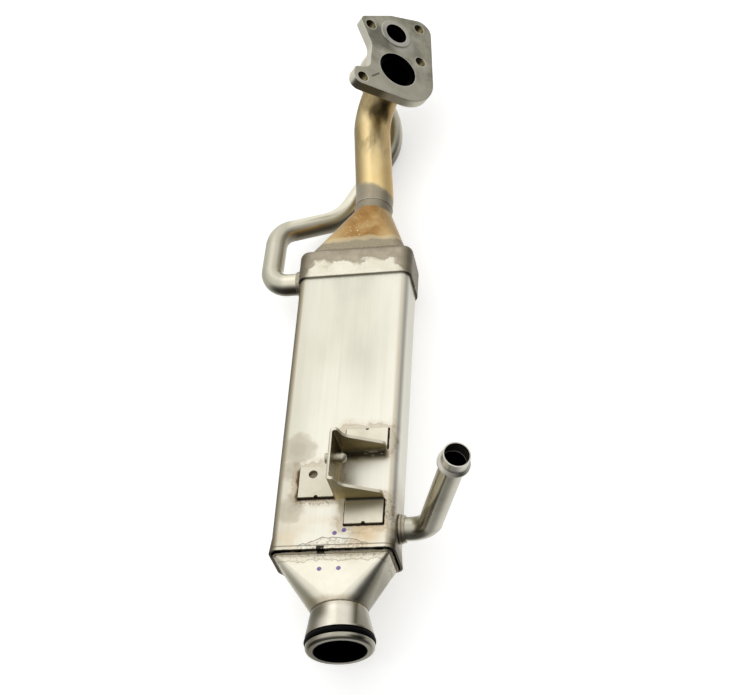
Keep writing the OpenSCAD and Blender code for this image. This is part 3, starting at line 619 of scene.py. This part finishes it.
def bracket_steel():
    """Folded sheet of the bracket: pale on its feet and edges, a heat tint deepened with painted shade on
    its walls.
    """
    f = Finish("bracket_sheet_steel")
    clouds = f.noise(55.0)
    fine = f.noise(900.0, rough=0.6)
    base = f.ramp(clouds, [(0.3, "d8d1bb"), (0.55, "e5dfcb"), (0.78, "ece7d6")])
    # Walls browned by a heat tint deepened with painted shade, varying with height
    level = f.vector("DOT_PRODUCT", f.true_normal, (0, 0, 1))
    upright = f.fall(f.math("ABSOLUTE", level), 0.25, 0.6)
    wall = f.product(upright, f.rise(f.z, FACE_Z + 2.4, FACE_Z + 4))
    height = f.plus(f.rise(f.z, FACE_Z, FACE_Z + 30), f.sway(clouds, 0.5))
    heat_tint_and_shade = f.ramp(height, [(0.0, "c2b27e"), (0.35, "94875f"), (0.8, "8d8163")])
    base = f.tint(base, heat_tint_and_shade, wall, 0.92)
    # Painted shade, and a dark line of painted shade at the root, where the lower foot meets its wall, and
    # painted shade in the corner of the upper wall
    lower_foot = f.rise(f.x, 0.4, 1.2)
    shade = f.product(f.rise(f.y, 83, 94), f.fall(f.y, 97.5, 98, 0.75))
    base = f.tint(base, "8a8470", shade, lower_foot, f.fall(f.z, FACE_Z + 2.4, FACE_Z + 4))
    root = f.product(f.near(f.y, 96.5, 0.5, 0.8), f.fall(f.z, FACE_Z + 3, FACE_Z + 5))
    base = f.tint(base, "241e12", root, lower_foot, 0.85)
    base = f.tint(base, "39331f", wall, f.fall(f.x, -4.6, -3.4), f.rise(f.y, 119, 130, 0.7))
    base = f.tint(base, "c4bea9", f.fall(f.x, -10, -8, 0.4))
    return f.done(base, f.sheen(fine, 0.34, 0.48), fine, 0.02, 0.5)


def spigot_steel():
    """Turned steel of the spigot, with fine lathe marks round its axis, painted shade on its sides and lip,
    and soot and painted shade in its bore.
    """
    f = Finish("spigot_turned_steel")
    rings = f.noise(1.0, (60, 2600, 60), 2.0)
    base = f.ramp(f.noise(50.0, detail=2.0), [(0.3, "dcd6c4"), (0.55, "e9e4d4"), (0.8, "f0ecdf")])
    # Painted shade on the sides, more on the left, and on the lip
    sides = f.rise(f.apart(f.x, -1), 8, 14, 0.65)
    base = f.tint(base, "857f6a", sides, f.span(f.y, 4, 8, 0.3, 1.0))
    base = f.tint(base, SPIGOT_SHADE, f.fall(f.x, -16, -4, 0.65))
    base = f.tint(base, SPIGOT_SHADE, f.fall(f.x, -11, -3, 0.85), f.rise(f.y, 10, 20))
    base = f.tint(base, SPIGOT_SHADE, f.fall(f.y, 4, 8, 0.55))
    base = f.tint(base, "b8a27a", f.rise(f.y, 22, 26, 0.3))
    base = f.soot_and_shade_in_bore(base, SPIGOT_END, -SPIGOT_DIR, SPIGOT_BLACK_R, BORE_DEPTH)
    return f.done(base, f.sheen(rings, 0.18, 0.26), rings, 0.006)


def plain_metal(name, dark, light, low, high, scale=500.0):
    """Weld metal, braze or core sheet: two tones and an uneven gloss."""
    f = Finish(name)
    grain = f.noise(scale, detail=4.0, rough=0.6)
    base = f.ramp(grain, [(0.3, dark), (0.7, light)])
    return f.done(base, f.sheen(grain, low, high), grain, 0.06)


def ferrule_steel():
    """Weld ferrule: dull metal with brown rings where it meets the casing."""
    f = Finish("ferrule_steel")
    grain = f.noise(500.0, detail=4.0, rough=0.6)
    base = f.ramp(grain, [(0.3, "9c937f"), (0.7, "c6bda9")])
    out = f.apart(f.x, CASING_X)
    base = f.tint(base, "32281a", f.fall(out, CASING_HALF_W + 0.3, CASING_HALF_W + 1.2, 0.85))
    base = f.tint(base, "5c4c36", f.near(out, CASING_HALF_W + 2.4, 0.2, 0.5), 0.6)
    return f.done(base, f.sheen(grain, 0.28, 0.4), grain, 0.04)


def seal_rubber():
    """Satin black rubber."""
    f = Finish("seal_ring_rubber", metallic=0.0)
    grain = f.noise(900.0, rough=0.6)
    f.shader.inputs["Specular IOR Level"].default_value = 0.06
    base = f.ramp(grain, [(0.3, "050505"), (0.7, "0b0a0a")])
    return f.done(base, f.sheen(grain, 0.45, 0.6), grain, 0.02)


def piece(name, mesh, material):
    """Makes a finished bmesh an object that rides on the part."""
    bmesh.ops.recalc_face_normals(mesh, faces=mesh.faces)
    data = bpy.data.meshes.new(name)
    mesh.to_mesh(data)
    mesh.free()
    for face in data.polygons:
        face.use_smooth = True
    data.materials.append(material)
    made = bpy.data.objects.new(name, data)
    scene.collection.objects.link(made)
    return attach(made, "root")


def weld_ring(name, at, axis, radius, bead, material, ripple=0.15):
    """Bead round a pipe: a small circle spun about the pipe's axis, with weld ripples."""
    ripples_per_metre, shift_per_metre = 900, 700
    at, radius = at * MM, radius * MM
    mesh = bmesh.new()
    bmesh.ops.create_circle(mesh, segments=14, radius=bead * MM)
    bmesh.ops.rotate(mesh, verts=mesh.verts, cent=(0, 0, 0), matrix=Matrix.Rotation(math.pi / 2, 3, "X"))
    bmesh.ops.translate(mesh, verts=mesh.verts, vec=(radius, 0, 0))
    bmesh.ops.spin(mesh, geom=mesh.verts[:] + mesh.edges[:], cent=(0, 0, 0), axis=(0, 0, 1),
                   angle=2 * math.pi, steps=120, use_merge=True)
    bmesh.ops.remove_doubles(mesh, verts=mesh.verts, dist=1e-6)
    for v in mesh.verts:
        flat = Vector((v.co.x, v.co.y, 0))
        ring = flat.normalized() * radius
        swell = 1 + ripple * noise.noise(flat * ripples_per_metre + at * shift_per_metre)
        v.co = ring + (v.co - ring) * swell
    stand = axis.to_track_quat("Z", "Y").to_matrix().to_4x4()
    bmesh.ops.transform(mesh, matrix=Matrix.Translation(at) @ stand, verts=mesh.verts)
    return piece(name, mesh, material)


def rounded_frame(width, depth, corner, thick):
    """Flat frame with round corners, made of one inset rectangle."""
    mesh = bmesh.new()
    bmesh.ops.create_grid(mesh, x_segments=1, y_segments=1, size=0.5)
    bmesh.ops.scale(mesh, vec=(width * MM, depth * MM, 1), verts=mesh.verts)
    bmesh.ops.bevel(mesh, geom=mesh.verts[:], offset=corner * MM, segments=8, profile=0.5,
                    affect="VERTICES", material=-1)
    inner = bmesh.ops.inset_individual(mesh, faces=mesh.faces[:], thickness=thick * MM)
    ring = set(inner["faces"])
    bmesh.ops.delete(mesh, geom=[f for f in mesh.faces if f not in ring], context="FACES")
    return mesh


def cut_long_edges(mesh, length, cuts):
    """Cuts the long edges of a frame, so that ripples can show along them."""
    long_edges = [e for e in mesh.edges if e.calc_length() > length * MM]
    bmesh.ops.subdivide_edges(mesh, edges=long_edges, cuts=cuts)


def thicken(mesh, height):
    """Extrudes a flat frame upward and hands back its upper corners."""
    risen = bmesh.ops.extrude_face_region(mesh, geom=mesh.faces[:])
    top = [g for g in risen["geom"] if isinstance(g, bmesh.types.BMVert)]
    bmesh.ops.translate(mesh, verts=top, vec=(0, 0, height * MM))
    return top


def ripple_sides(mesh, scale, shift, reach):
    """Moves each corner in or out by noise, as in a bead laid by hand."""
    for v in mesh.verts:
        outward = Vector((v.co.x, v.co.y, 0)).normalized()
        v.co += outward * noise.noise(v.co * scale + shift) * reach * MM


def cone_foot_weld(name, material):
    """Low bead round the foot of the inlet diffuser, on the cap."""
    mesh = rounded_frame(width=76.5, depth=34, corner=8.5, thick=2.6)
    cut_long_edges(mesh, length=20, cuts=40)
    top = thicken(mesh, height=1.5)
    bmesh.ops.scale(mesh, verts=top, vec=(0.97, 0.93, 1))
    ripple_sides(mesh, scale=260, shift=Vector((0, 0, 0)), reach=0.5)
    sink = 0.4
    onto_cap = Matrix.Translation(Vector((CASING_X, CAP_Y1 - sink, 0)) * MM)
    bmesh.ops.transform(mesh, matrix=onto_cap @ Matrix.Rotation(-math.pi / 2, 4, "X"), verts=mesh.verts)
    return piece(name, mesh, material)


def foot_shade_seam(name, rect, material):
    """Thin dark border round a foot of the bracket: braze, and painted shade for the gap under the foot's
    edge.
    """
    low_x, low_y, high_x, high_y = rect
    border = 0.85
    mesh = rounded_frame(width=high_x - low_x + 2 * border, depth=high_y - low_y + 2 * border,
                         corner=0.8, thick=1.9)
    cut_long_edges(mesh, length=5, cuts=24)
    thicken(mesh, height=0.5)
    ripple_sides(mesh, scale=420, shift=Vector((low_x, low_y, 0)) * MM * 90, reach=0.3)
    middle = Vector(((low_x + high_x) / 2, (low_y + high_y) / 2, FACE_Z))
    bmesh.ops.translate(mesh, verts=mesh.verts, vec=middle * MM)
    return piece(name, mesh, material)


finishes = {
    "casing": drawn_steel(),
    "inlet_cap": tinted_cap(),
    "inlet_diffuser": gold_cone(),
    "outlet_diffuser": cone_steel(),
    "outlet_spigot": spigot_steel(),
    "seal_ring": seal_rubber(),
    "gas_pipe": gold_pipe(),
    "flange": flange_steel(),
    "bracket": bracket_steel(),
    "weld_nut": plain_metal("weld_nut_steel", "b9b29f", "d8d1be", 0.34, 0.5),
    "outlet_header": rim_steel(),
    "supply_tube": tube_steel("supply_tube_steel", "b3af9e", "c2beac", "cdc9b8", 0.2),
    "return_tube": tube_steel("return_tube_steel", "e9e3cc", "f1ecd7", "f6f2e1", 0.27, 0.85),
}
finishes["supply_ferrule"] = finishes["return_ferrule"] = ferrule_steel()
core_finish = plain_metal("core_sheet_steel", "8f887a", "b1aa9b", 0.4, 0.55)
for name, node in nodes.items():
    node.data.materials.clear()
    node.data.materials.append(finishes.get(name, core_finish))

weld_finish = plain_metal("weld_bead_steel", "7d7463", "b2a994", 0.3, 0.5, 900.0)
# Dark braze, also used as painted shade round the feet
braze_and_shade_finish = plain_metal("braze_and_shade_dark", "1d1812", "42362a", 0.45, 0.65, 900.0)
joint_finish = plain_metal("joint_bead_steel", "b5ad9a", "ded8c8", 0.3, 0.45, 900.0)
flange_back = FLANGE_N * -FLANGE_T
weld_ring("neck_fillet", NECK_START, NECK_DIR, PIPE_R, 0.8, finishes["inlet_diffuser"], 0.0)
weld_ring("pipe_weld", PIPE_START, NECK_DIR, PIPE_R, 0.4, joint_finish)
weld_ring("spigot_weld", OUTLET_NECK, SPIGOT_DIR, SPIGOT_NECK_R, 0.55, weld_finish)
weld_ring("flange_gas_weld", FLANGE_C + flange_back, FLANGE_N, PIPE_R + 0.6, 1.7, weld_finish)
weld_ring("flange_coolant_weld", COOLANT_AT + flange_back, FLANGE_N, RETURN_R + 0.5, 1.4, weld_finish)
cone_foot_weld("cone_foot_weld", weld_finish)
# Dark borders of braze and painted shade round the feet
for side, rect in FEET.items():
    foot_shade_seam(f"{side}_foot_shade_seam", rect, braze_and_shade_finish)


def paper_finish():
    """Plain floor finish, with a little light of its own so that it reads as white paper."""
    made = bpy.data.materials.new("floor_paper")
    made.use_nodes = True
    shader = made.node_tree.nodes["Principled BSDF"]
    shader.inputs["Base Color"].default_value = colour("f4f4f2")
    shader.inputs["Roughness"].default_value = 0.9
    shader.inputs["Specular IOR Level"].default_value = 0.0
    shader.inputs["Emission Color"].default_value = (1, 1, 1, 1)
    shader.inputs["Emission Strength"].default_value = 0.5
    return made


def lay_floor(half_size, gap):
    """Sheet of paper below the part, which reflections don't show."""
    mesh = bmesh.new()
    bmesh.ops.create_grid(mesh, x_segments=1, y_segments=1, size=half_size)
    bmesh.ops.translate(mesh, verts=mesh.verts, vec=(0, 0, cad_box[0].z - gap))
    data = bpy.data.meshes.new("floor")
    mesh.to_mesh(data)
    mesh.free()
    data.materials.append(paper_finish())
    made = bpy.data.objects.new("floor", data)
    scene.collection.objects.link(made)
    made.visible_glossy = False


lay_floor(half_size=30, gap=0.5 * MM)

# Studio sky: bright overhead, pale at the horizon and below it, dark on the camera's side
world = bpy.data.worlds.new("studio")
scene.world = world
world.use_nodes = True
sky = Steps(world.node_tree)
sky_x, sky_y, sky_z = sky.axes(sky.add("ShaderNodeTexCoord").outputs["Generated"])
overhead = sky.product(sky.rise(sky_z, 0.1, 0.75, 0.95), sky.span(sky_y, -0.85, -0.3, 0.45, 1.0))
around = sky.product(sky.fall(sky_z, 0.1, 0.75), sky.span(sky_y, -0.55, -0.2, 0.09, 0.62))
below = sky.product(sky.fall(sky_z, -0.8, -0.5), sky.rise(sky_y, -0.7, -0.35, 0.35))
# A low glow stands behind the flange on the left, and a dark flag low on the right
back_glow = sky.product(sky.rise(sky_y, 0.5, 0.85, 0.32), sky.fall(sky_x, 0.1, 0.5),
                        sky.fall(sky_z, 0.2, 0.75))
right_flag = sky.product(sky.rise(sky_x, 0.45, 0.8), sky.rise(sky_z, -0.3, -0.05),
                         sky.span(sky_y, 0.3, 0.65, 0.92, 0.3))
sky_level = overhead
for part in (around, below, back_glow):
    sky_level = sky.plus(sky_level, part)
sky_level = sky.plus(sky_level, sky.product(sky_level, right_flag), -1.0)
background = world.node_tree.nodes["Background"]
background.inputs["Color"].default_value = (1, 1, 1, 1)
sky.join(sky_level, background.inputs["Strength"])


def soft_box(name, at, aim, size, power):
    """Square soft lamp that stands at a point and looks at another."""
    lamp = bpy.data.lights.new(name, "AREA")
    lamp.shape = "RECTANGLE"
    lamp.size = lamp.size_y = size
    lamp.energy = power
    made = bpy.data.objects.new(name, lamp)
    scene.collection.objects.link(made)
    made.location = at
    made.rotation_mode = "QUATERNION"
    made.rotation_quaternion = (Vector(aim) - Vector(at)).to_track_quat("-Z", "Y")


soft_box("key_box", at=(-0.45, 0.95, 1.15), aim=(0, 0.22, 0), size=0.8, power=0.7)
soft_box("fill_box", at=(0.9, 0.5, 0.7), aim=(0, 0.3, 0), size=0.6, power=0.3)

# Camera fitted to the photograph: its focal length in pixels, its place and its axes
IMAGE_W = 754
FOCAL_PX = 1400
CAMERA_AT = Vector((194.1, -340.6, 806.0))
CAMERA_RIGHT = Vector((0.9814, 0.0576, -0.1833)).normalized()
CAMERA_BACK = Vector((0.1832, -0.5689, 0.8018)).normalized()
CAMERA_UP = CAMERA_BACK.cross(CAMERA_RIGHT).normalized()
camera = bpy.data.cameras.new("photo_camera")
camera.sensor_fit = "HORIZONTAL"
camera.sensor_width = 36
camera.lens = FOCAL_PX * camera.sensor_width / IMAGE_W
camera.clip_start, camera.clip_end = 0.01, 100
eye = bpy.data.objects.new("photo_camera", camera)
scene.collection.objects.link(eye)
camera_turn = Matrix((CAMERA_RIGHT, CAMERA_UP, CAMERA_BACK)).transposed().to_4x4()
eye.matrix_world = Matrix.Translation(CAMERA_AT * MM) @ camera_turn
scene.camera = eye

scene.view_settings.view_transform = "Standard"
